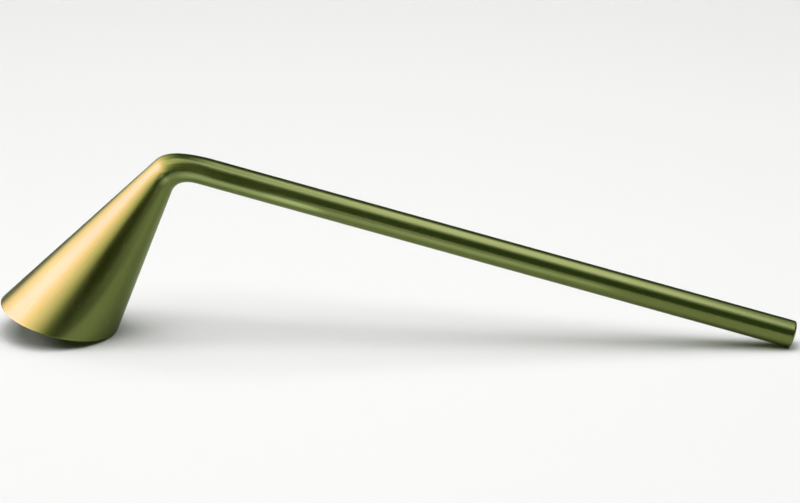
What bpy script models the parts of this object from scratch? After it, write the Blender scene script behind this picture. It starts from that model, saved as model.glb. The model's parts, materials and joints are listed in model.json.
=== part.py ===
"""A brass candle snuffer: a leaning conical bell, a tapered elbow and a plain tube handle with a plugged end.

The pieces are modelled with the handle's axis along +X and the mouth's plane level, in metres. An empty then
tilts them as they lie on a table, on the rim's handle side and the handle's end, with the origin at the bottom
centre of the whole. "Outer" is the side of the bell and elbow away from the handle, "inner" the side under it.
"""

from math import asin, atan2, cos, hypot, pi, radians, sin, tan

import bmesh
import bpy
from mathutils import Matrix, Vector

# Handle: a drawn tube, measured from the neck's corner, where the bell's axis meets the handle's axis
TUBE_DIAMETER = 0.0080
TUBE_WALL = 0.0010
HANDLE_LENGTH = 0.1872

# Bell: a cone of sheet, cut off obliquely at the mouth, parallel to the handle
BELL_HALF_ANGLE = radians(12.58)
BELL_LEAN = radians(18.9)
BELL_WALL = 0.0010
BELL_TIP_HEIGHT = 0.0153
MOUTH_DEPTH = 0.0558
RIM_EDGE_BREAK = 0.00015

# Elbow: how far each blend reaches along the bell's side and along the handle from where the two lines cross
OUTER_BLEND_ON_BELL = 0.0055
OUTER_BLEND_ON_HANDLE = 0.0133
INNER_BLEND_ON_BELL = 0.0050
INNER_BLEND_ON_HANDLE = 0.0062
BELL_LAND = 0.0012
HANDLE_LAND = 0.0008
BELL_SPIGOT_LENGTH = 0.0035
HANDLE_SPIGOT_LENGTH = 0.0100

# End plug
PLUG_HEAD_LENGTH = 0.0025
PLUG_SPIGOT_LENGTH = 0.0060
PLUG_CORNER_RADIUS = 0.0007

# Fits and edges shared by the pieces
FIT_GAP = 0.0003
SPIGOT_CHAMFER = 0.0003

# How finely round shapes are divided
ROUND_SEGMENTS = 72
ELBOW_SECTIONS = 28
HALVINGS = 40
CORNER_POINTS = 7
EDGE_BREAK_SEGMENTS = 2
SMOOTH_ANGLE = radians(30)
MERGE_DISTANCE = 0.00001

OUTER = -1
INNER = 1
BLENDS = {
    OUTER: (OUTER_BLEND_ON_BELL, OUTER_BLEND_ON_HANDLE),
    INNER: (INNER_BLEND_ON_BELL, INNER_BLEND_ON_HANDLE),
}
INNER_SEARCH = (-10, 10)
SIDEWAYS = Vector((0, 1, 0))
ALONG_HANDLE = Vector((1, 0, 0))
ACROSS_HANDLE = Vector((0, 0, 1))
QUARTER_TURN = pi / 2

TUBE_RADIUS = TUBE_DIAMETER / 2
BORE_RADIUS = TUBE_RADIUS - TUBE_WALL
ALONG_BELL = Vector((sin(BELL_LEAN), 0, cos(BELL_LEAN)))
ACROSS_BELL = Vector((-cos(BELL_LEAN), 0, sin(BELL_LEAN)))
BELL_TIP = ALONG_BELL * BELL_TIP_HEIGHT

BRASS_COLOUR = (0.62, 0.52, 0.22, 1.0)
BRASS_ROUGHNESS = 0.3


def clear_scene():
    """Removes every object that the file starts with."""
    for item in list(bpy.data.objects):
        bpy.data.objects.remove(item, do_unlink=True)


def brass(name):
    """A satin brass finish for one piece."""
    material = bpy.data.materials.new(name)
    material.use_nodes = True
    shader = material.node_tree.nodes["Principled BSDF"]
    shader.inputs["Base Color"].default_value = BRASS_COLOUR
    shader.inputs["Metallic"].default_value = 1.0
    shader.inputs["Roughness"].default_value = BRASS_ROUGHNESS
    return material


def add_piece(name, mesh, collection, root):
    """Puts a mesh in the scene as one named piece with its own finish."""
    piece = bpy.data.objects.new(name, mesh)
    mesh.materials.append(brass(name + "_brass"))
    collection.objects.link(piece)
    piece.parent = root
    return piece


def shade_round(mesh):
    """Shades a mesh smooth, but for its hard edges."""
    mesh.shade_smooth()
    mesh.set_sharp_from_angle(angle=SMOOTH_ANGLE)


def mesh_from(shape, name):
    """Turns a finished bmesh into a smooth-shaded mesh that keeps its hard edges."""
    bmesh.ops.recalc_face_normals(shape, faces=shape.faces)
    mesh = bpy.data.meshes.new(name)
    shape.to_mesh(mesh)
    shape.free()
    shade_round(mesh)
    return mesh


def bell_side_angle(side):
    """Angle of the bell's outer or inner side line from the mouth's normal."""
    return BELL_LEAN - side * BELL_HALF_ANGLE


def down_bell_side(side):
    """Direction down the bell's outer or inner side, in the plane of symmetry."""
    angle = bell_side_angle(side)
    return Vector((-sin(angle), 0, -cos(angle)))


def side_length_to(side, height):
    """Length of a side line from the bell's tip down to a height."""
    return (BELL_TIP.z - height) / cos(bell_side_angle(side))


def handle_line_height(side):
    """Height of the handle's top line, which the outer side runs into, or of its bottom line."""
    return -side * TUBE_RADIUS


def corner(side):
    """Where the bell's side line would cross the handle's line with no blend."""
    return BELL_TIP + down_bell_side(side) * side_length_to(side, handle_line_height(side))


def side_line(side, place):
    """A point on the elbow's outer or inner line, and the line's direction towards the handle.

    The blend runs from place 0, on the bell's side line, to place 1, on the handle's line, as the curve that is
    tangent to both. Below 0 and above 1 the line goes on straight, along the bell's side and along the handle.
    """
    on_bell, on_handle = BLENDS[side]
    to_corner = -down_bell_side(side) * on_bell
    from_corner = ALONG_HANDLE * on_handle
    share = min(max(place, 0), 1)
    beyond = place - share
    blend_point = corner(side) - (1 - share) ** 2 * to_corner + share**2 * from_corner
    pace = 2 * (1 - share) * to_corner + 2 * share * from_corner
    return blend_point + beyond * pace, pace.normalized()


def section_at(place):
    """The round section whose outer end is at a place on the outer line, as the two ends of its diameter.

    The diameter stands square to the bend there, which means square to the sum of the two lines' directions, so
    the inner end is found by halving the stretch of inner line that holds it.
    """
    outer_end, outer_direction = side_line(OUTER, place)
    low, high = INNER_SEARCH
    for _ in range(HALVINGS):
        middle = (low + high) / 2
        inner_end, inner_direction = side_line(INNER, middle)
        if (inner_end - outer_end).dot(inner_direction + outer_direction) > 0:
            high = middle
        else:
            low = middle
    return outer_end, inner_end


def bell_seam_drop():
    """Distance down the bell's axis from its tip to the elbow's shoulder, past the end of both blends."""
    outer_end = side_length_to(OUTER, handle_line_height(OUTER)) + OUTER_BLEND_ON_BELL
    inner_end = side_length_to(INNER, handle_line_height(INNER)) + INNER_BLEND_ON_BELL
    return max(outer_end, inner_end) * cos(BELL_HALF_ANGLE) + BELL_LAND


def handle_seam_x():
    """Distance along the handle from the neck's corner to the elbow's shoulder, past the end of both blends."""
    outer_end = corner(OUTER).x + OUTER_BLEND_ON_HANDLE
    inner_end = corner(INNER).x + INNER_BLEND_ON_HANDLE
    return max(outer_end, inner_end) + HANDLE_LAND


def bell_radius(drop, wall):
    """Radius of the cone at a distance down its axis from the tip, inside a wall measured square to it."""
    return drop * tan(BELL_HALF_ANGLE) - wall / cos(BELL_HALF_ANGLE)


def bell_neck_drop():
    """Distance down the bell's axis from its tip to the bell's neck, a fit gap below the elbow's shoulder."""
    return bell_seam_drop() + FIT_GAP


def make_bell(collection, root):
    """The bell: a turned cone of even wall, cut along the mouth's plane, with both edges of its rim broken."""
    neck = bell_neck_drop()
    past_mouth = side_length_to(OUTER, -MOUTH_DEPTH) * cos(BELL_HALF_ANGLE) + BELL_WALL
    profile = [
        (bell_radius(neck, 0), neck),
        (bell_radius(past_mouth, 0), past_mouth),
        (bell_radius(past_mouth, BELL_WALL), past_mouth),
        (bell_radius(neck, BELL_WALL), neck),
    ]
    shape = bmesh.new()
    weights = shape.edges.layers.float.new("bevel_weight_edge")
    corners = [shape.verts.new((radius, 0, -drop)) for radius, drop in profile]
    sides = [shape.edges.new((corners[i - 1], corners[i])) for i in range(len(corners))]
    bmesh.ops.spin(
        shape,
        geom=corners + sides,
        cent=(0, 0, 0),
        axis=(0, 0, 1),
        angle=2 * pi,
        steps=ROUND_SEGMENTS,
        use_merge=True,
    )

    placing = Matrix.Translation(BELL_TIP) @ Matrix.Rotation(BELL_LEAN, 4, "Y")
    mouth_point = placing.inverted() @ Vector((0, 0, -MOUTH_DEPTH))
    out_of_mouth = placing.to_3x3().inverted() @ Vector((0, 0, -1))
    everything = shape.verts[:] + shape.edges[:] + shape.faces[:]
    bmesh.ops.bisect_plane(
        shape, geom=everything, plane_co=mouth_point, plane_no=out_of_mouth, clear_outer=True
    )
    rim_edges = [edge for edge in shape.edges if edge.is_boundary]
    for edge in rim_edges:
        edge[weights] = 1.0
    bmesh.ops.bridge_loops(shape, edges=rim_edges)

    bell = add_piece("bell", mesh_from(shape, "bell"), collection, root)
    bell.matrix_local = placing
    edge_break = bell.modifiers.new("rim_edge_break", "BEVEL")
    edge_break.limit_method = "WEIGHT"
    edge_break.width = RIM_EDGE_BREAK
    edge_break.segments = EDGE_BREAK_SEGMENTS
    edge_break.harden_normals = True
    return bell


def round_section(centre, across, radius):
    """A round section, given as the outer and inner end of its diameter in the plane of symmetry."""
    return centre + across * radius, centre - across * radius


def spigot_sections(root_point, outwards, across, radius, length):
    """A spigot's sections from its shoulder to its chamfered end."""
    end = root_point + outwards * length
    chamfer_start = end - outwards * SPIGOT_CHAMFER
    return [
        round_section(root_point, across, radius),
        round_section(chamfer_start, across, radius),
        round_section(end, across, radius - SPIGOT_CHAMFER),
    ]


def loft(sections):
    """Joins round sections in their order, each given as the two ends of its diameter, into one closed skin."""
    shape = bmesh.new()
    rings = []
    for outer_end, inner_end in sections:
        centre = (outer_end + inner_end) / 2
        upright = (outer_end - inner_end) / 2
        sideways = SIDEWAYS * upright.length
        ring = []
        for step in range(ROUND_SEGMENTS):
            angle = 2 * pi * step / ROUND_SEGMENTS
            ring.append(shape.verts.new(centre + upright * cos(angle) + sideways * sin(angle)))
        rings.append(ring)
    for first, second in zip(rings[:-1], rings[1:]):
        for i in range(ROUND_SEGMENTS):
            shape.faces.new((first[i - 1], first[i], second[i], second[i - 1]))
    shape.faces.new(rings[0][::-1])
    shape.faces.new(rings[-1])
    return shape


def make_elbow(collection, root):
    """The elbow: round sections held between an outer and an inner line, so that the bell's taper runs on through
    the bend and fades into the handle, with a stepped spigot at each end."""
    bell_seam = BELL_TIP - ALONG_BELL * bell_seam_drop()
    bell_spigot = spigot_sections(
        bell_seam,
        -ALONG_BELL,
        ACROSS_BELL,
        bell_radius(bell_neck_drop(), BELL_WALL) - FIT_GAP,
        BELL_SPIGOT_LENGTH,
    )
    handle_spigot = spigot_sections(
        ALONG_HANDLE * handle_seam_x(),
        ALONG_HANDLE,
        ACROSS_HANDLE,
        BORE_RADIUS - FIT_GAP,
        HANDLE_SPIGOT_LENGTH,
    )

    seam_on_side = bell_seam_drop() / cos(BELL_HALF_ANGLE)
    blend_end_on_side = side_length_to(OUTER, handle_line_height(OUTER)) + OUTER_BLEND_ON_BELL
    first_place = (blend_end_on_side - seam_on_side) / (2 * OUTER_BLEND_ON_BELL)
    blend_end_x = corner(OUTER).x + OUTER_BLEND_ON_HANDLE
    last_place = 1 + (handle_seam_x() - blend_end_x) / (2 * OUTER_BLEND_ON_HANDLE)
    bend = []
    for step in range(ELBOW_SECTIONS):
        share = step / (ELBOW_SECTIONS - 1)
        bend.append(section_at(first_place + share * (last_place - first_place)))

    skin = loft(bell_spigot[::-1] + bend + handle_spigot)
    return add_piece("elbow", mesh_from(skin, "elbow"), collection, root)


def turned_piece(name, profile, closed, distance, collection, root):
    """A piece turned about the handle's axis from a profile of (radius, length along the handle) points."""
    outline = bpy.data.meshes.new(name + "_profile")
    points = [(radius, 0, length) for radius, length in profile]
    links = [(i, i + 1) for i in range(len(points) - 1)]
    if closed:
        links.append((len(points) - 1, 0))
    outline.from_pydata(points, links, [])
    piece = add_piece(name, outline, collection, root)
    piece.location = ALONG_HANDLE * distance
    piece.rotation_euler = (0, QUARTER_TURN, 0)
    turning = piece.modifiers.new("turning", "SCREW")
    turning.angle = 2 * pi
    turning.steps = ROUND_SEGMENTS
    turning.render_steps = ROUND_SEGMENTS
    turning.use_merge_vertices = True
    turning.merge_threshold = MERGE_DISTANCE

    depsgraph = bpy.context.evaluated_depsgraph_get()
    skin = bpy.data.meshes.new_from_object(piece.evaluated_get(depsgraph))
    skin.name = name
    shade_round(skin)
    piece.modifiers.clear()
    piece.data = skin
    bpy.data.meshes.remove(outline)
    return piece


def tube_end_x():
    """Distance along the handle to the tube's far end, a fit gap before the plug's head."""
    return HANDLE_LENGTH - PLUG_HEAD_LENGTH - FIT_GAP


def make_handle_tube(collection, root):
    """The handle: a straight tube that starts a fit gap after the elbow's shoulder."""
    start = handle_seam_x() + FIT_GAP
    length = tube_end_x() - start
    profile = [(TUBE_RADIUS, length), (TUBE_RADIUS, 0), (BORE_RADIUS, 0), (BORE_RADIUS, length)]
    return turned_piece("handle_tube", profile, True, start, collection, root)


def make_end_plug(collection, root):
    """The end plug: a head flush with the tube, its corner rounded, and a chamfered spigot in the bore."""
    spigot_radius = BORE_RADIUS - FIT_GAP
    rounded = []
    for step in range(CORNER_POINTS):
        angle = QUARTER_TURN * (1 - step / (CORNER_POINTS - 1))
        radius = TUBE_RADIUS - PLUG_CORNER_RADIUS + PLUG_CORNER_RADIUS * cos(angle)
        rounded.append((radius, PLUG_CORNER_RADIUS * (sin(angle) - 1)))
    profile = [(0, 0)] + rounded + [
        (TUBE_RADIUS, -PLUG_HEAD_LENGTH),
        (spigot_radius, -PLUG_HEAD_LENGTH),
        (spigot_radius, SPIGOT_CHAMFER - PLUG_HEAD_LENGTH - PLUG_SPIGOT_LENGTH),
        (spigot_radius - SPIGOT_CHAMFER, -PLUG_HEAD_LENGTH - PLUG_SPIGOT_LENGTH),
        (0, -PLUG_HEAD_LENGTH - PLUG_SPIGOT_LENGTH),
    ]
    return turned_piece("end_plug", profile, False, HANDLE_LENGTH, collection, root)


def resting_tilt():
    """Tilt that lays the rim's inner side and the plug's rounded corner on one level surface."""
    rim = BELL_TIP + down_bell_side(INNER) * side_length_to(INNER, -MOUTH_DEPTH)
    run = HANDLE_LENGTH - PLUG_CORNER_RADIUS - rim.x
    rise = PLUG_CORNER_RADIUS - TUBE_RADIUS - rim.z
    return atan2(rise, run) - asin(PLUG_CORNER_RADIUS / hypot(run, rise))


def stand_on_table(root, pieces):
    """Moves the empty so that the origin is at the bottom centre of all the pieces together."""
    bpy.context.view_layer.update()
    depsgraph = bpy.context.evaluated_depsgraph_get()
    corners = []
    for piece in pieces:
        evaluated = piece.evaluated_get(depsgraph)
        corners += [evaluated.matrix_world @ vert.co for vert in evaluated.data.vertices]
    lowest = Vector([min(point[axis] for point in corners) for axis in range(3)])
    highest = Vector([max(point[axis] for point in corners) for axis in range(3)])
    root.location.x -= (lowest.x + highest.x) / 2
    root.location.y -= (lowest.y + highest.y) / 2
    root.location.z -= lowest.z


def build():
    """Builds the snuffer."""
    clear_scene()
    collection = bpy.data.collections.new("candle_snuffer")
    bpy.context.scene.collection.children.link(collection)
    root = bpy.data.objects.new("resting_frame", None)
    collection.objects.link(root)
    root.rotation_euler = (0, resting_tilt(), 0)
    pieces = [
        make_bell(collection, root),
        make_elbow(collection, root),
        make_handle_tube(collection, root),
        make_end_plug(collection, root),
    ]
    stand_on_table(root, pieces)


build()
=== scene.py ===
"""The looks of a brass candle snuffer: a leaning conical bell, a tapered elbow and a plain tube handle,
brazed up and then brushed along their length to one satin skin, so that no seam shows.

Each piece is modelled with the handle's axis along +X and the bell's mouth level, and is then laid down as
the frame has it. "Outer" is the side of the bell and elbow away from the handle, "inner" the side under it.
"""

import json
from math import cos, hypot, pi, radians, sin, tan

import bmesh
import bpy
from mathutils import Matrix, Vector


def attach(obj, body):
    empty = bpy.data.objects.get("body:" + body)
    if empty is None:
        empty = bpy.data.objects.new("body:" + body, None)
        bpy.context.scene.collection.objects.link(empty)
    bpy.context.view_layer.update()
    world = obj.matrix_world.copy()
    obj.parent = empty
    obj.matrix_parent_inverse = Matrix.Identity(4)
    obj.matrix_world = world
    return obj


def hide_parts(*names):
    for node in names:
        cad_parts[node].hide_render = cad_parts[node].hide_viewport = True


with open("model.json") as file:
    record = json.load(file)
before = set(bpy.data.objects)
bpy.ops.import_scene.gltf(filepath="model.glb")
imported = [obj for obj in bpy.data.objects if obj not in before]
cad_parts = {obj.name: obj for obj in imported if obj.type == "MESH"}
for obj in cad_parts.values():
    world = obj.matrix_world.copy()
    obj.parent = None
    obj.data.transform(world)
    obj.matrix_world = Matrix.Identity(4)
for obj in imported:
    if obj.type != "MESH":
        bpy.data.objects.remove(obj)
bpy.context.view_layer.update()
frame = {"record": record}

# Bell. A cone of 1 mm brass sheet, rolled, brazed and turned true, cut off on a slant so that its mouth is
# level when the handle is. The rim is ground flat, its two edges just broken. The outside is brushed from the
# neck down to the rim, and the inside is left as it was turned.
BELL_HALF_ANGLE = radians(12.58)
BELL_LEAN = radians(18.9)
BELL_WALL = 0.0010
BELL_TIP_HEIGHT = 0.0153
BELL_SEAM_DROP = 0.02422
PAST_MOUTH_DROP = 0.085
MOUTH_DEPTH = 0.0558
RIM_EDGE_BREAK = 0.00015
RIM_EDGE_STEPS = 4
RIM_RINGS = (0.0003, 0.0006, 0.0012)
# The rim's lowest edge is lightened, partly as rubbed brass and partly as a painted highlight.
RIM_WEAR_AND_SHEEN_HEIGHT = 0.0006
ON_THE_RIM = 0.000002
ROUND_SEGMENTS = 256
HARD_EDGE_ANGLE = radians(28)
SAME_POINT = 0.0000005

# The frame says where the handle's end lies and how it tilts, and the whole snuffer is laid down from there.
HANDLE_LENGTH = 0.1872
HANDLE_END = next(mount for mount in frame["record"]["mounts"] if mount["name"] == "handle_end")
LYING = (
    Matrix.Translation(Vector(HANDLE_END["pos_m"]))
    @ Vector((1, 0, 0)).rotation_difference(Vector(HANDLE_END["axis"])).to_matrix().to_4x4()
    @ Matrix.Translation((-HANDLE_LENGTH, 0, 0))
)

BRASS_SHADE = (0.268, 0.279, 0.094, 1)
BRASS_LIGHT = (0.347, 0.356, 0.124, 1)
TURNED_BRASS = (0.282, 0.270, 0.095, 1)
BRUSHED_ROUGHNESS = 0.25
TURNED_ROUGHNESS = 0.36
FINE_LINES = (60, 60, 160)
BROAD_LINES = (14, 14, 60)
FINE_SHARE = 0.6
TURNING_RINGS = 4200
TARNISH_SCALE = (55, 55, 55)
SMUDGE_SCALE = (160, 160, 160)
EVEN_SHADE = 0.5
LINES_IN_COLOUR = 1.1
TARNISH_IN_COLOUR = 0.9
WEAR_AND_SHEEN_IN_COLOUR = 0.5
LINES_IN_ROUGHNESS = 0.12
SMUDGES_IN_ROUGHNESS = 0.06
WEAR_IN_ROUGHNESS = 0.05
LINE_STRENGTH = 0.08
LINE_DEPTH = 0.00003


class Surface:
    """One output of a finish's nodes. Sums and products of these are worked out by Math nodes."""

    def __init__(self, tree, socket=None):
        self.tree = tree
        self.socket = socket

    def node(self, kind, settings, inputs, output=0):
        """Adds a node, sets it up, and then gives its sockets numbers, colours or other outputs."""
        made = self.tree.nodes.new("ShaderNode" + kind)
        for name, value in settings.items():
            setattr(made, name, value)
        for name, value in inputs.items():
            if isinstance(value, Surface):
                self.tree.links.new(value.socket, made.inputs[name])
            else:
                made.inputs[name].default_value = value
        return Surface(self.tree, made.outputs[output])

    def maths(self, operation, first, second):
        return self.node("Math", {"operation": operation}, {0: first, 1: second})

    def __add__(self, other):
        return self.maths("ADD", self, other)

    def __radd__(self, other):
        return self.maths("ADD", other, self)

    def __sub__(self, other):
        return self.maths("SUBTRACT", self, other)

    def __rsub__(self, other):
        return self.maths("SUBTRACT", other, self)

    def __mul__(self, other):
        return self.maths("MULTIPLY", self, other)

    def __rmul__(self, other):
        return self.maths("MULTIPLY", other, self)

    def stretched(self, scales):
        """A vector with each of its parts multiplied by its own number."""
        return self.node("VectorMath", {"operation": "MULTIPLY"}, {0: self, 1: scales})

    def noise(self, detail):
        """Soft noise about zero, read at this vector."""
        return self.node("TexNoise", {}, {"Vector": self, "Scale": 1, "Detail": detail}) - 0.5

    def fade(self, low, high):
        """A smooth rise from 0 to 1 as this value goes from one number to another."""
        inputs = {"Value": self, "From Min": low, "From Max": high}
        return self.node("MapRange", {"interpolation_type": "SMOOTHSTEP"}, inputs)

    def mixed(self, first, second):
        """One colour turning into another as this value goes from 0 to 1."""
        settings = {"data_type": "RGBA", "clamp_factor": True}
        return self.node("Mix", settings, {0: self, 6: first, 7: second}, output=2)


def satin_brass(name, ring_centre):
    """Brass brushed along the snuffer, with turning rings about one point where the piece is left as turned.

    The brushing follows the grain that each piece carries: the cosine and sine of the angle round it, and the
    distance along it from the bell's seam. So the lines run on from piece to piece through the bend.
    """
    material = bpy.data.materials.new(name)
    material.use_nodes = True
    tree = material.node_tree
    shader = tree.nodes["Principled BSDF"]
    start = Surface(tree)

    place = start.node("TexCoord", {}, {}, output="Object")
    grain = start.node("Attribute", {"attribute_name": "grain"}, {}, output="Vector")
    turned = start.node("Attribute", {"attribute_name": "turned"}, {}, output="Fac")
    wear_and_sheen = start.node("Attribute", {"attribute_name": "wear_and_sheen"}, {}, output="Fac")

    fine = grain.stretched(FINE_LINES).noise(detail=2) * FINE_SHARE
    broad = grain.stretched(BROAD_LINES).noise(detail=3) * (1 - FINE_SHARE)
    brushing = fine + broad
    ends = {0: place, 1: ring_centre}
    across_rings = start.node("VectorMath", {"operation": "DISTANCE"}, ends, output="Value")
    rings = start.node("CombineXYZ", {}, {"X": across_rings * TURNING_RINGS}).noise(detail=2)
    lines = brushing * (1 - turned) + rings * turned
    tarnish = place.stretched(TARNISH_SCALE).noise(detail=4)
    smudges = place.stretched(SMUDGE_SCALE).noise(detail=3)

    # Rubbed edges at the rim and the plug's corner are lighter: partly brass rubbed bright, partly a painted
    # highlight.
    shade = EVEN_SHADE + lines * LINES_IN_COLOUR + tarnish * TARNISH_IN_COLOUR + wear_and_sheen * WEAR_AND_SHEEN_IN_COLOUR
    brushed = shade.mixed(BRASS_SHADE, BRASS_LIGHT)
    colour = turned.mixed(brushed, TURNED_BRASS)
    roughness = BRUSHED_ROUGHNESS + lines * LINES_IN_ROUGHNESS + smudges * SMUDGES_IN_ROUGHNESS
    roughness = roughness - wear_and_sheen * WEAR_IN_ROUGHNESS
    roughness = roughness + turned * (TURNED_ROUGHNESS - BRUSHED_ROUGHNESS)
    relief = start.node("Bump", {}, {"Strength": LINE_STRENGTH, "Distance": LINE_DEPTH, "Height": lines})

    shader.inputs["Metallic"].default_value = 1.0
    tree.links.new(colour.socket, shader.inputs["Base Color"])
    tree.links.new(roughness.socket, shader.inputs["Roughness"])
    tree.links.new(relief.socket, shader.inputs["Normal"])
    return material


def finished_piece(name, shape, marks_of, ring_centre):
    """Gives a closed shape its grain, its turned places, its rubbed edges lightened partly as a painted
    highlight, and its finish, and lays it down.
    """
    bmesh.ops.recalc_face_normals(shape, faces=shape.faces)
    grain = shape.verts.layers.float_vector.new("grain")
    turned = shape.verts.layers.float.new("turned")
    wear_and_sheen = shape.verts.layers.float.new("wear_and_sheen")
    shape.verts.index_update()
    for vert in shape.verts:
        vert[grain], vert[turned], vert[wear_and_sheen] = marks_of(vert)
    bmesh.ops.transform(shape, matrix=LYING, verts=shape.verts)

    mesh = bpy.data.meshes.new(name)
    shape.to_mesh(mesh)
    shape.free()
    mesh.shade_smooth()
    mesh.set_sharp_from_angle(angle=HARD_EDGE_ANGLE)
    mesh.materials.append(satin_brass(name + "_satin", LYING @ ring_centre))
    piece = bpy.data.objects.new(name, mesh)
    bpy.context.scene.collection.objects.link(piece)
    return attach(piece, "root")


def spun(profile, closed, placing):
    """A profile of (radius, height) points, a closed loop or not, turned about the Z axis and placed."""
    shape = bmesh.new()
    corners = [shape.verts.new((radius, 0, height)) for radius, height in profile]
    first = 0 if closed else 1
    sides = [shape.edges.new((corners[i - 1], corners[i])) for i in range(first, len(corners))]
    bmesh.ops.spin(
        shape,
        geom=corners + sides,
        cent=(0, 0, 0),
        axis=(0, 0, 1),
        angle=2 * pi,
        steps=ROUND_SEGMENTS,
        use_merge=True,
    )
    bmesh.ops.remove_doubles(shape, verts=shape.verts, dist=SAME_POINT)
    bmesh.ops.transform(shape, matrix=placing, verts=shape.verts)
    return shape


def cut_level(shape, height, clear_below):
    """Cuts a shape on a level plane, and takes away what is below it if asked."""
    bmesh.ops.bisect_plane(
        shape,
        geom=shape.verts[:] + shape.edges[:] + shape.faces[:],
        plane_co=(0, 0, height),
        plane_no=(0, 0, -1),
        clear_outer=clear_below,
    )


def rounded(shape, edges, radius, steps):
    """Rounds some of a shape's edges."""
    bmesh.ops.bevel(
        shape,
        geom=edges,
        offset=radius,
        offset_type="OFFSET",
        affect="EDGES",
        segments=steps,
        profile=0.5,
        material=-1,
    )


def cone_radius(drop, wall):
    """Radius of the cone at a distance down its axis from the tip, inside a wall measured square to it."""
    return drop * tan(BELL_HALF_ANGLE) - wall / cos(BELL_HALF_ANGLE)


UP_THE_BELL = Vector((sin(BELL_LEAN), 0, cos(BELL_LEAN)))
BELL_TIP = UP_THE_BELL * BELL_TIP_HEIGHT
BELL_PLACING = Matrix.Translation(BELL_TIP) @ Matrix.Rotation(BELL_LEAN, 4, "Y")


def bell_marks(vert):
    """The grain runs down the cone from its neck. The inner side is turned, and the rim lightened, partly as
    rubbed brass and partly as a painted highlight.
    """
    local = BELL_PLACING.inverted() @ vert.co
    radius = hypot(local.x, local.y)
    grain = (-local.x / radius, local.y / radius, BELL_SEAM_DROP + local.z)
    turned = float(radius < cone_radius(-local.z, BELL_WALL - RIM_EDGE_BREAK))
    wear_and_sheen = max(0, 1 - (vert.co.z + MOUTH_DEPTH) / RIM_WEAR_AND_SHEEN_HEIGHT)
    return grain, turned, wear_and_sheen


bell_profile = [
    (cone_radius(BELL_SEAM_DROP, 0), -BELL_SEAM_DROP),
    (cone_radius(PAST_MOUTH_DROP, 0), -PAST_MOUTH_DROP),
    (cone_radius(PAST_MOUTH_DROP, BELL_WALL), -PAST_MOUTH_DROP),
    (cone_radius(BELL_SEAM_DROP, BELL_WALL), -BELL_SEAM_DROP),
]
bell_shape = spun(bell_profile, True, BELL_PLACING)
cut_level(bell_shape, -MOUTH_DEPTH, True)
bmesh.ops.bridge_loops(bell_shape, edges=[edge for edge in bell_shape.edges if edge.is_boundary])
rim_corners = [
    edge
    for edge in bell_shape.edges
    if max(abs(vert.co.z + MOUTH_DEPTH) for vert in edge.verts) < ON_THE_RIM
    and edge.calc_face_angle() > HARD_EDGE_ANGLE
]
rounded(bell_shape, rim_corners, RIM_EDGE_BREAK, RIM_EDGE_STEPS)
for ring in RIM_RINGS:
    cut_level(bell_shape, ring - MOUTH_DEPTH, False)
bell = finished_piece("bell_skin", bell_shape, bell_marks, BELL_TIP)
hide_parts("bell")

# Elbow. A cast and dressed bend whose round section tapers from the bell's neck down to the handle, held
# between a smooth outer and a smooth inner line. A spigot at each end is brazed into the bell's neck and the
# handle's bore. It is brushed through the bend, and its spigot's end shows inside the bell, as turned.
TUBE_RADIUS = 0.0040
TUBE_WALL = 0.0010
OUTER = -1
INNER = 1
BLENDS = {OUTER: (0.0055, 0.0133), INNER: (0.0050, 0.0062)}
HANDLE_SEAM_X = 0.012642
BEND_SECTIONS = 72
BELL_SPIGOT_LENGTH = 0.0035
HANDLE_SPIGOT_LENGTH = 0.0100
SPIGOT_CHAMFER = 0.0003
SPIGOT_GAP = 0.0003
INNER_SEARCH = (-10, 10)
HALVINGS = 40
SIDEWAYS = Vector((0, 1, 0))
ALONG_HANDLE = Vector((1, 0, 0))
ACROSS_HANDLE = Vector((0, 0, 1))


def down_bell_side(side):
    """Direction down the bell's outer or inner side, in the plane of symmetry."""
    angle = BELL_LEAN - side * BELL_HALF_ANGLE
    return Vector((-sin(angle), 0, -cos(angle)))


def length_to_handle_line(side):
    """Length of the bell's side line from its tip to the handle's top line or bottom line."""
    return (BELL_TIP.z + side * TUBE_RADIUS) / cos(BELL_LEAN - side * BELL_HALF_ANGLE)


def corner(side):
    """Where the bell's side line would cross the handle's line with no blend."""
    return BELL_TIP + down_bell_side(side) * length_to_handle_line(side)


def side_line(side, place):
    """A point on the elbow's outer or inner line, and the line's direction towards the handle.

    The blend runs from place 0, on the bell's side line, to place 1, on the handle's line, as the curve that
    is tangent to both. Below 0 and above 1 the line goes on straight.
    """
    on_bell, on_handle = BLENDS[side]
    to_corner = -down_bell_side(side) * on_bell
    from_corner = ALONG_HANDLE * on_handle
    share = min(max(place, 0), 1)
    pace = 2 * (1 - share) * to_corner + 2 * share * from_corner
    on_blend = corner(side) - (1 - share) ** 2 * to_corner + share**2 * from_corner
    return on_blend + (place - share) * pace, pace.normalized()


def section_at(place):
    """The round section whose outer end is at a place on the outer line, as the two ends of its diameter.

    The diameter stands square to the sum of the two lines' directions. The inner end is found by halving.
    """
    outer_end, outer_direction = side_line(OUTER, place)
    low, high = INNER_SEARCH
    for _ in range(HALVINGS):
        middle = (low + high) / 2
        inner_end, inner_direction = side_line(INNER, middle)
        if (inner_end - outer_end).dot(inner_direction + outer_direction) > 0:
            high = middle
        else:
            low = middle
    return outer_end, inner_end


def middle_of(section):
    return (section[0] + section[1]) / 2


def spigot(root, outwards, across, radius, length):
    """A spigot's round sections from its shoulder to its chamfered end."""
    steps = [(0, radius), (length - SPIGOT_CHAMFER, radius), (length, radius - SPIGOT_CHAMFER)]
    return [
        (root + outwards * step + across * size, root + outwards * step - across * size)
        for step, size in steps
    ]


def circle_of(section):
    """The matrix that lays a circle of radius 1 about the Z axis on a round section, its Y axis outwards."""
    upright = (section[0] - section[1]).normalized()
    radius = (section[0] - section[1]).length / 2
    axes = Matrix((SIDEWAYS, upright, SIDEWAYS.cross(upright))).transposed()
    return Matrix.Translation(middle_of(section)) @ (axes * radius).to_4x4()


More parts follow.
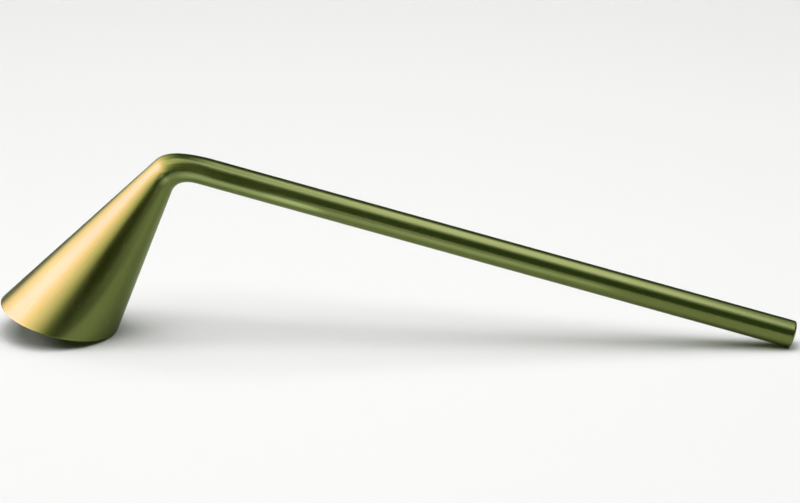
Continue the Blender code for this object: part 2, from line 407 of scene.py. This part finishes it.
blend_start = length_to_handle_line(OUTER) + BLENDS[OUTER][0]
first_place = (blend_start - BELL_SEAM_DROP / cos(BELL_HALF_ANGLE)) / (2 * BLENDS[OUTER][0])
last_place = 1 + (HANDLE_SEAM_X - corner(OUTER).x - BLENDS[OUTER][1]) / (2 * BLENDS[OUTER][1])
bend_step = (last_place - first_place) / (BEND_SECTIONS - 1)
bend = [section_at(first_place + step * bend_step) for step in range(BEND_SECTIONS)]
bell_spigot = spigot(
    BELL_TIP - UP_THE_BELL * BELL_SEAM_DROP,
    -UP_THE_BELL,
    Vector((-cos(BELL_LEAN), 0, sin(BELL_LEAN))),
    cone_radius(BELL_SEAM_DROP, BELL_WALL) - SPIGOT_GAP,
    BELL_SPIGOT_LENGTH,
)
handle_spigot = spigot(
    ALONG_HANDLE * HANDLE_SEAM_X,
    ALONG_HANDLE,
    ACROSS_HANDLE,
    TUBE_RADIUS - TUBE_WALL - SPIGOT_GAP,
    HANDLE_SPIGOT_LENGTH,
)
elbow_sections = bell_spigot[::-1] + bend + handle_spigot

bend_lengths = [0]
for before, after in zip(bend[:-1], bend[1:]):
    bend_lengths.append(bend_lengths[-1] + (middle_of(after) - middle_of(before)).length)
BEND_LENGTH = bend_lengths[-1]


def elbow_marks(vert):
    """The grain runs round the bend. The spigot inside the bell is turned."""
    ring = vert.index // ROUND_SEGMENTS
    local = circle_of(elbow_sections[ring]).inverted() @ vert.co
    bend_ring = min(max(ring - len(bell_spigot), 0), BEND_SECTIONS - 1)
    turned = float(ring < len(bell_spigot))
    return (local.y, local.x, bend_lengths[bend_ring]), turned, 0


elbow_shape = bmesh.new()
bmesh.ops.create_circle(
    elbow_shape, cap_ends=False, radius=1, segments=ROUND_SEGMENTS, matrix=circle_of(elbow_sections[0])
)
open_edges = elbow_shape.edges[:]
for before, after in zip(elbow_sections[:-1], elbow_sections[1:]):
    drawn_out = bmesh.ops.extrude_edge_only(elbow_shape, edges=open_edges)["geom"]
    new_ring = [part for part in drawn_out if isinstance(part, bmesh.types.BMVert)]
    bmesh.ops.transform(elbow_shape, matrix=circle_of(after) @ circle_of(before).inverted(), verts=new_ring)
    open_edges = [
        part
        for part in drawn_out
        if isinstance(part, bmesh.types.BMEdge)
        and len(part.link_faces) == 1
        and part.verts[0] in new_ring
        and part.verts[1] in new_ring
    ]
bmesh.ops.holes_fill(elbow_shape, edges=[edge for edge in elbow_shape.edges if edge.is_boundary])
elbow = finished_piece("elbow_skin", elbow_shape, elbow_marks, middle_of(bell_spigot[-1]))
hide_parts("elbow")

# Handle. A length of drawn 8 mm brass tube with a 1 mm wall, cut square at both ends and brazed onto the
# elbow's spigot. It is brushed lengthwise, right up to both joints.
PLUG_HEAD_LENGTH = 0.0025
TURNED_TO_HANDLE = Matrix.Rotation(pi / 2, 4, "Y")


def handle_marks(vert):
    """The grain runs along the handle."""
    radius = max(hypot(vert.co.y, vert.co.z), SAME_POINT)
    return (vert.co.z / radius, vert.co.y / radius, BEND_LENGTH + vert.co.x - HANDLE_SEAM_X), 0, 0


tube_end_x = HANDLE_LENGTH - PLUG_HEAD_LENGTH
tube_profile = [
    (TUBE_RADIUS, HANDLE_SEAM_X),
    (TUBE_RADIUS, tube_end_x),
    (TUBE_RADIUS - TUBE_WALL, tube_end_x),
    (TUBE_RADIUS - TUBE_WALL, HANDLE_SEAM_X),
]
tube_shape = spun(tube_profile, True, TURNED_TO_HANDLE)
handle_tube = finished_piece("handle_tube_skin", tube_shape, handle_marks, ALONG_HANDLE * tube_end_x)
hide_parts("handle_tube")

# End plug. A turned brass plug, brazed into the tube's far end. Its head is flush with the tube, with a
# rounded corner, and is brushed with it. The flat face keeps its turning rings.
PLUG_SPIGOT_LENGTH = 0.0060
PLUG_CORNER_RADIUS = 0.0007
PLUG_CORNER_STEPS = 12
PLUG_CORNER_MARGIN = 0.0001
FACE_SHARE_OF_CORNER = 0.1
ON_THE_CORNER = 0.00001


def plug_marks(vert):
    """The grain runs on from the handle. The flat face is turned, and the corner round it lightened, partly
    as rubbed brass and partly as a painted highlight.
    """
    grain, _, _ = handle_marks(vert)
    from_face = (HANDLE_LENGTH - vert.co.x) / PLUG_CORNER_RADIUS
    turned = float(from_face < FACE_SHARE_OF_CORNER)
    wear_and_sheen = max(0, 1 - abs(2 * from_face - 1))
    return grain, turned, wear_and_sheen


plug_radius = TUBE_RADIUS - TUBE_WALL - SPIGOT_GAP
plug_end_x = tube_end_x - PLUG_SPIGOT_LENGTH
plug_profile = [
    (0, HANDLE_LENGTH),
    (TUBE_RADIUS - PLUG_CORNER_RADIUS - PLUG_CORNER_MARGIN, HANDLE_LENGTH),
    (TUBE_RADIUS, HANDLE_LENGTH),
    (TUBE_RADIUS, HANDLE_LENGTH - PLUG_CORNER_RADIUS - PLUG_CORNER_MARGIN),
    (TUBE_RADIUS, tube_end_x),
    (plug_radius, tube_end_x),
    (plug_radius, plug_end_x + SPIGOT_CHAMFER),
    (plug_radius - SPIGOT_CHAMFER, plug_end_x),
    (0, plug_end_x),
]
plug_shape = spun(plug_profile, False, TURNED_TO_HANDLE)
head_corner = [
    edge
    for edge in plug_shape.edges
    if all(
        abs(vert.co.x - HANDLE_LENGTH) < ON_THE_CORNER
        and abs(hypot(vert.co.y, vert.co.z) - TUBE_RADIUS) < ON_THE_CORNER
        for vert in edge.verts
    )
]
rounded(plug_shape, head_corner, PLUG_CORNER_RADIUS, PLUG_CORNER_STEPS)
end_plug = finished_piece("end_plug_skin", plug_shape, plug_marks, ALONG_HANDLE * HANDLE_LENGTH)
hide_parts("end_plug")

# Floor and cards. The floor is pale dull board and keeps the snuffer's shadow. The cards are grey and dark
# sheets, one upright before the bell and the rest flat on the floor, and only the metal's reflections show
# them.
# They are painted shade: they stand for the floor's shade in the metal, and give it its dark bands.
FLOOR_HALF_WIDTH = 12
FLOOR_COLOUR = (0.82, 0.82, 0.81, 1)
FLOOR_ROUGHNESS = 0.9
DULL_SPECULAR = 0.2
CARD_ROUGHNESS = 1
CARD_HALF = 0.5
FLAT = 0
UPRIGHT = pi / 2
CARD_GREY = (0.35, 0.42, 0.34, 1)
CARD_BLACK = (0.05, 0.06, 0.06, 1)
BELL_CARD_COLOURS = ((0.025, 0.04, 0.01, 1), (0.10, 0.13, 0.05, 1))
TABLE_CARD_COLOURS = (CARD_GREY, CARD_GREY)
FRONT_CARD_COLOURS = ((0.067, 0.08, 0.06, 1), CARD_GREY)
FAR_CARD_COLOURS = ((0.042, 0.05, 0.03, 1), (0.333, 0.40, 0.33, 1))
BACK_CARD_COLOURS = (CARD_BLACK, CARD_BLACK)


def staged(name, shape, material):
    """Puts up a thing that isn't part of the snuffer."""
    mesh = bpy.data.meshes.new(name)
    shape.to_mesh(mesh)
    shape.free()
    mesh.materials.append(material)
    thing = bpy.data.objects.new(name, mesh)
    bpy.context.scene.collection.objects.link(thing)
    return thing


def plain_finish(name, colour, roughness):
    """A plain dull finish."""
    material = bpy.data.materials.new(name)
    material.use_nodes = True
    shader = material.node_tree.nodes["Principled BSDF"]
    shader.inputs["Base Color"].default_value = colour
    shader.inputs["Roughness"].default_value = roughness
    shader.inputs["Specular IOR Level"].default_value = DULL_SPECULAR
    return material


floor_shape = bmesh.new()
bmesh.ops.create_grid(floor_shape, x_segments=1, y_segments=1, size=FLOOR_HALF_WIDTH)
staged("floor", floor_shape, plain_finish("pale_floor", FLOOR_COLOUR, FLOOR_ROUGHNESS))


def card(name, middle, turn, width, height, left_colour, right_colour):
    """A card of painted shade, graded from its left to its right, that only the snuffer's reflections show.
    """
    shape = bmesh.new()
    bmesh.ops.create_grid(shape, x_segments=1, y_segments=1, size=CARD_HALF)
    finish = plain_finish(name, left_colour, CARD_ROUGHNESS)
    tree = finish.node_tree
    start = Surface(tree)
    place = start.node("TexCoord", {}, {}, output="Object")
    along = start.node("SeparateXYZ", {}, {0: place}, output="X")
    graded = along.fade(-CARD_HALF, CARD_HALF).mixed(left_colour, right_colour)
    tree.links.new(graded.socket, tree.nodes["Principled BSDF"].inputs["Base Color"])
    made = staged(name, shape, finish)
    made.location = middle
    made.rotation_euler = (turn, 0, 0)
    made.scale = (width, height, 1)
    made.visible_camera = False
    made.visible_diffuse = False
    made.visible_shadow = False


for name, middle, turn, width, height, colours in (
    ("bell_card", (-0.0665, -0.10, 0.030), UPRIGHT, 0.072, 0.060, BELL_CARD_COLOURS),
    ("table_card", (0.000, -0.08, 0.0004), FLAT, 0.36, 0.38, TABLE_CARD_COLOURS),
    ("front_card", (-0.040, -0.145, 0.0008), FLAT, 0.14, 0.22, FRONT_CARD_COLOURS),
    ("far_front_card", (0.040, -0.20, 0.0012), FLAT, 0.30, 0.23, FAR_CARD_COLOURS),
    ("back_card", (0.000, 0.29, 0.0008), FLAT, 0.80, 0.44, BACK_CARD_COLOURS),
):
    card(name, middle, turn, width, height, *colours)

# Key cloth. A tall half round sheet at the bell's end with a painted glow, like that of thin cloth lit from
# behind.
# It is brightest low down, and warmest in its middle. It makes the long highlight on the bell, and only the
# metal's reflections show it.
KEY_CENTRE = Vector((-0.095, 0, 0))
KEY_TURN = radians(-175)
KEY_SHEET_RADIUS = 0.45
KEY_SHEET_FOOT = 0.03
KEY_SHEET_HEIGHT = 1.60
KEY_SHEET_STEPS = 64
CLOTH_SIDES = (1.92, 2.53, 1.14, 1)
CLOTH_MIDDLE = (4.08, 2.53, 3.04, 1)
FOOT_RISE = (0.0, 0.075)
TOP_FALL = (0.05, 1.0)
WARMTH_FALL = (0.15, 0.85)


def glowing_cloth(name, side_colour, middle_colour):
    """A painted glow like that of thin cloth with a lamp behind it, strongest in its middle and a little
    above its foot.
    """
    material = bpy.data.materials.new(name)
    material.use_nodes = True
    tree = material.node_tree
    tree.nodes.clear()
    start = Surface(tree)
    place = start.node("TexCoord", {}, {}, output="Object")
    towards_middle = start.node("SeparateXYZ", {}, {0: place}, output="X")
    height = start.node("SeparateXYZ", {}, {0: place}, output="Z")
    foot = height.fade(*FOOT_RISE)
    top = 1 - height.fade(*TOP_FALL)
    warmth = towards_middle * (1 - height.fade(*WARMTH_FALL))
    colour = warmth.mixed(side_colour, middle_colour)
    settings = {"Color": colour, "Strength": towards_middle * foot * top}
    light = start.node("Emission", {}, settings, output="Emission")
    clear = start.node("BsdfTransparent", {}, {}, output="BSDF")
    output = tree.nodes.new("ShaderNodeOutputMaterial")
    both = start.node("AddShader", {}, {0: light, 1: clear}, output="Shader")
    tree.links.new(both.socket, output.inputs["Surface"])
    return material


sheet_shape = bmesh.new()
upright = [sheet_shape.verts.new((0, -1, 0)), sheet_shape.verts.new((0, -1, 1))]
sheet_edge = sheet_shape.edges.new(upright)
bmesh.ops.spin(
    sheet_shape,
    geom=upright + [sheet_edge],
    cent=(0, 0, 0),
    axis=(0, 0, 1),
    angle=pi,
    steps=KEY_SHEET_STEPS,
    use_merge=False,
)
key_sheet = staged("key_sheet", sheet_shape, glowing_cloth("key_cloth", CLOTH_SIDES, CLOTH_MIDDLE))
key_sheet.location = KEY_CENTRE + Vector((0, 0, KEY_SHEET_FOOT))
key_sheet.rotation_euler = (0, 0, KEY_TURN)
key_sheet.scale = (KEY_SHEET_RADIUS, KEY_SHEET_RADIUS, KEY_SHEET_HEIGHT)
key_sheet.visible_camera = False
key_sheet.visible_diffuse = False
key_sheet.visible_shadow = False

# Lamps. A small one inside the cloth lifts the middle of the bell's highlight, wide ones overhead give the
# handle its upper bright band, and strips close under its front give it the lower one. Only the metal's
# reflections show these. The last three light the floor and the cards, and don't show in the metal.
BELL_MIDDLE = Vector((-0.095, 0, 0.03))
HANDLE_MIDDLE = Vector((0.03, 0, 0.03))


def soft_light(name, place, aim, width, height, colour, placing=Matrix.Identity(4)):
    """A soft box. Its face has the given colour, on the scale where a white card in plain light is 1."""
    light = bpy.data.lights.new(name, "AREA")
    light.shape = "RECTANGLE"
    light.size = width
    light.size_y = height
    light.color = colour
    light.energy = pi * width * height
    lamp = bpy.data.objects.new(name, light)
    turn = (aim - place).to_track_quat("-Z", "Y").to_matrix().to_4x4()
    lamp.matrix_world = placing @ Matrix.Translation(place) @ turn
    bpy.context.scene.collection.objects.link(lamp)
    return lamp


for name, place, aim, width, height, colour in (
    ("key_core", Vector((-0.44, -0.03, 0.22)), BELL_MIDDLE, 0.26, 0.24, (0.67, 0.15, 2.05)),
    ("overhead_box", Vector((0.265, 0.05, 0.65)), HANDLE_MIDDLE, 0.64, 0.25, (1.05, 1.05, 1.27)),
    ("overhead_spread", Vector((0.34, 0.05, 0.70)), HANDLE_MIDDLE, 1.16, 0.62, (0.417, 0.48, 0.55)),
    ("overhead_neck", Vector((-0.02, -0.06, 0.65)), HANDLE_MIDDLE, 0.46, 0.13, (0.85, 0.95, 1.06)),
    ("overhead_elbow", Vector((-0.21, -0.12, 0.65)), HANDLE_MIDDLE, 0.48, 0.26, (0.875, 0.82, 0.82)),
):
    lamp = soft_light(name, place, aim, width, height, colour)
    lamp.visible_diffuse = False
# A strip's light is gathered into a narrow spread. Straight ahead it is 3 to 9 times as bright as its colour.
for name, along, distance, dip, length, height, spread, colour in (
    ("front_strip", 0.082, 0.032, 30, 0.105, 0.029, 70, (0.050, 0.060, 0.068)),
    ("neck_strip", 0.0215, 0.032, 40, 0.047, 0.029, 64, (0.092, 0.110, 0.120)),
    ("elbow_strip", 0.0070, 0.022, 13, 0.008, 0.007, 110, (0.10, 0.12, 0.13)),
):
    middle = ALONG_HANDLE * along
    away = Vector((0, -cos(radians(dip)), -sin(radians(dip)))) * distance
    lamp = soft_light(name, middle + away, middle, length, height, colour, LYING)
    lamp.data.spread = radians(spread)
    lamp.visible_diffuse = False
for name, place, aim, width, height, colour in (
    ("floor_left", Vector((-2.4, -0.25, 1.7)), HANDLE_MIDDLE, 0.90, 0.90, (6, 6, 6)),
    ("floor_top", Vector((0, 0.0, 0.9)), HANDLE_MIDDLE, 0.40, 0.40, (4, 4, 4)),
    ("floor_fill", Vector((0, 0, 1.2)), HANDLE_MIDDLE, 1.6, 1.6, (2.22, 2.12, 2.28)),
):
    lamp = soft_light(name, place, aim, width, height, colour)
    lamp.visible_glossy = False

# Room. The air is dim and a little green. The metal shows it where it mirrors no lamp, card or floor, so in
# its darkest parts.
ROOM_COLOUR = (0.0375, 0.075, 0.020, 1)
world = bpy.data.worlds.new("studio_air")
world.use_nodes = True
world.node_tree.nodes["Background"].inputs["Color"].default_value = ROOM_COLOUR
bpy.context.scene.world = world

# Camera. A long lens 0.8 m away, which looks down by 21 degrees. It stands almost square on to the snuffer, a
# little towards the handle's end, so that the outline is the photograph's.
CAMERA_AZIMUTH = radians(3.388)
CAMERA_ELEVATION = radians(21.359)
CAMERA_DISTANCE = 0.8
CAMERA_AIM = Vector((0.0013831, -0.0054723, 0.0290697))
SENSOR_WIDTH = 36
FOCAL_LENGTH = 125.1
towards_camera = Vector(
    (
        sin(CAMERA_AZIMUTH) * cos(CAMERA_ELEVATION),
        -cos(CAMERA_AZIMUTH) * cos(CAMERA_ELEVATION),
        sin(CAMERA_ELEVATION),
    )
)
camera = bpy.data.objects.new("camera", bpy.data.cameras.new("camera"))
camera.data.sensor_width = SENSOR_WIDTH
camera.data.lens = FOCAL_LENGTH
camera.location = CAMERA_AIM + towards_camera * CAMERA_DISTANCE
camera.rotation_euler = (-towards_camera).to_track_quat("-Z", "Y").to_euler()
bpy.context.scene.collection.objects.link(camera)
bpy.context.scene.camera = camera
bpy.context.scene.view_settings.view_transform = "Standard"
